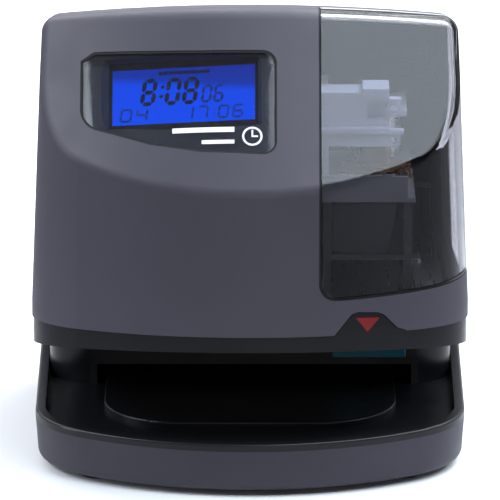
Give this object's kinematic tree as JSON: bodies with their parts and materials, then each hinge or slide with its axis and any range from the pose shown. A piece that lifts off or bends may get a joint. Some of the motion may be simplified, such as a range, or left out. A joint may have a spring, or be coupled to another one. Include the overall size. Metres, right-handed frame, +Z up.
{
  "type": "punch time clock",
  "caption": "Desk-top punch time clock with a bowed charcoal cover, back-lit display, clear print window, open card throat and a stamping carriage under a lift-off, locking cover.",
  "frame": {"origin": "middle of the footprint, on the surface that the feet stand on", "axes": "+X to the right of a person facing the clock, +Y to its back, +Z up"},
  "size_m": [0.1524, 0.15, 0.1615],
  "materials": {
    "cover_plastic": "charcoal moulded plastic, fine texture",
    "black_plastic": "black moulded plastic",
    "clear_plastic": "clear moulded plastic",
    "smoked_lens": "smoked gloss plastic",
    "seal_rubber": "black",
    "teal_plastic": "translucent teal",
    "red_marker": "red",
    "grey_plastic": "light grey moulded plastic",
    "brown_plastic": "brown",
    "nylon": "natural nylon",
    "steel": "bright zinc plated",
    "lock_chrome": "plated",
    "bronze": "sintered bronze",
    "ribbon_cloth": "inked",
    "lcd": "blue back-lit display",
    "circuit_board": "green lacquer",
    "component_black": "black",
    "battery_wrap": "green sleeve",
    "button_plastic": "black"
  },
  "bodies": {
    "chassis": {"base_shell": "cover_plastic", "base_feet": "seal_rubber", "base_screws": "steel", "card_tray": "black_plastic", "card_table": "black_plastic", "platen": "seal_rubber", "rear_column": "black_plastic", "card_guide": "teal_plastic", "column_screws": "steel", "hood_frame": "black_plastic", "print_marker": "red_marker", "power_jack": "black_plastic", "chassis_plate": "steel", "chassis_screws": "steel", "print_frame": "steel", "frame_screws": "steel", "guide_shaft_main": "steel", "guide_shaft_rear": "steel", "idler_shaft": "steel", "drive_belt": "seal_rubber", "carriage_motor": "steel", "ribbon_frame": "black_plastic", "ribbon_cassette": "black_plastic", "ink_ribbon": "ribbon_cloth", "ribbon_deck": "grey_plastic", "ribbon_bracket": "grey_plastic", "ribbon_motor": "steel", "lever_bracket": "black_plastic", "lever_pin": "steel", "lcd_glass": "lcd", "lcd_module": "black_plastic", "display_board": "circuit_board", "display_holder": "black_plastic", "main_board": "circuit_board", "board_components": "component_black", "backup_battery": "battery_wrap", "buzzer": "black_plastic", "lock_catch": "steel"},
    "cover": {"upper_cover": "cover_plastic", "display_lens": "smoked_lens", "lens_gasket": "seal_rubber", "print_window": "clear_plastic", "window_gasket": "seal_rubber", "lock_body": "lock_chrome", "lock_nut": "lock_chrome"},
    "lock": {"lock_plug": "lock_chrome", "lock_cam": "steel"},
    "carriage": {"carriage_body": "grey_plastic", "carriage_bushes": "bronze", "print_head": "steel"},
    "belt_pulley_motor": {"motor_pulley": "nylon"},
    "belt_pulley_idler": {"idler_pulley": "nylon"},
    "ribbon_feed": {"feed_gear": "nylon", "ribbon_knob": "brown_plastic"},
    "ribbon_pinion": {"feed_pinion": "nylon"},
    "set_button_1": {"set_button_1": "button_plastic"},
    "set_button_2": {"set_button_2": "button_plastic"},
    "set_button_3": {"set_button_3": "button_plastic"},
    "card_lever": {"card_lever": "black_plastic"}
  },
  "joints": [
    {"name": "cover_lift", "type": "slide", "parent": "chassis", "child": "cover", "axis": [0, 0, 1], "range_m": [0, 0.12]},
    {"name": "lock_turn", "type": "hinge", "parent": "cover", "child": "lock", "pos_m": [-0.066, 0.03, 0.085], "axis": [1, 0, 0], "range_deg": [0, 90]},
    {"name": "carriage_slide", "type": "slide", "parent": "chassis", "child": "carriage", "axis": [1, 0, 0], "range_m": [-0.017, 0.011]},
    {"name": "motor_pulley_turn", "type": "hinge", "parent": "chassis", "child": "belt_pulley_motor", "pos_m": [0.013, 0.06, 0.045], "axis": [0, 0, 1], "range_deg": [-230, 150]},
    {"name": "idler_pulley_turn", "type": "hinge", "parent": "chassis", "child": "belt_pulley_idler", "pos_m": [0.061, 0.06, 0.045], "axis": [0, 0, 1], "range_deg": [-230, 150]},
    {"name": "ribbon_feed_turn", "type": "hinge", "parent": "chassis", "child": "ribbon_feed", "pos_m": [0.043, -0.018, 0.1], "axis": [0, 0, 1], "continuous": true},
    {"name": "ribbon_pinion_turn", "type": "hinge", "parent": "chassis", "child": "ribbon_pinion", "pos_m": [0.043, 0, 0.1], "axis": [0, 0, 1], "continuous": true},
    {"name": "set_button_1_press", "type": "slide", "parent": "chassis", "child": "set_button_1", "axis": [0.1426, 0.8108, -0.5677], "range_m": [0, 0.0008], "stiffness_N_per_m": 400, "springref_m": -0.0006},
    {"name": "set_button_2_press", "type": "slide", "parent": "chassis", "child": "set_button_2", "axis": [0.1426, 0.8108, -0.5677], "range_m": [0, 0.0008], "stiffness_N_per_m": 400, "springref_m": -0.0006},
    {"name": "set_button_3_press", "type": "slide", "parent": "chassis", "child": "set_button_3", "axis": [0.1426, 0.8108, -0.5677], "range_m": [0, 0.0008], "stiffness_N_per_m": 400, "springref_m": -0.0006},
    {"name": "card_lever_swing", "type": "hinge", "parent": "chassis", "child": "card_lever", "pos_m": [-0.02, 0.046, 0.028], "axis": [1, 0, 0], "range_deg": [0, 25], "stiffness_Nm_per_rad": 0.002, "springref_deg": -11.46}
  ],
  "couplings": [
    {"joint": "motor_pulley_turn", "follows": "carriage_slide", "rad_per_m": 222.22},
    {"joint": "idler_pulley_turn", "follows": "carriage_slide", "rad_per_m": 222.22},
    {"joint": "ribbon_pinion_turn", "follows": "ribbon_feed_turn", "ratio": -2}
  ]
}
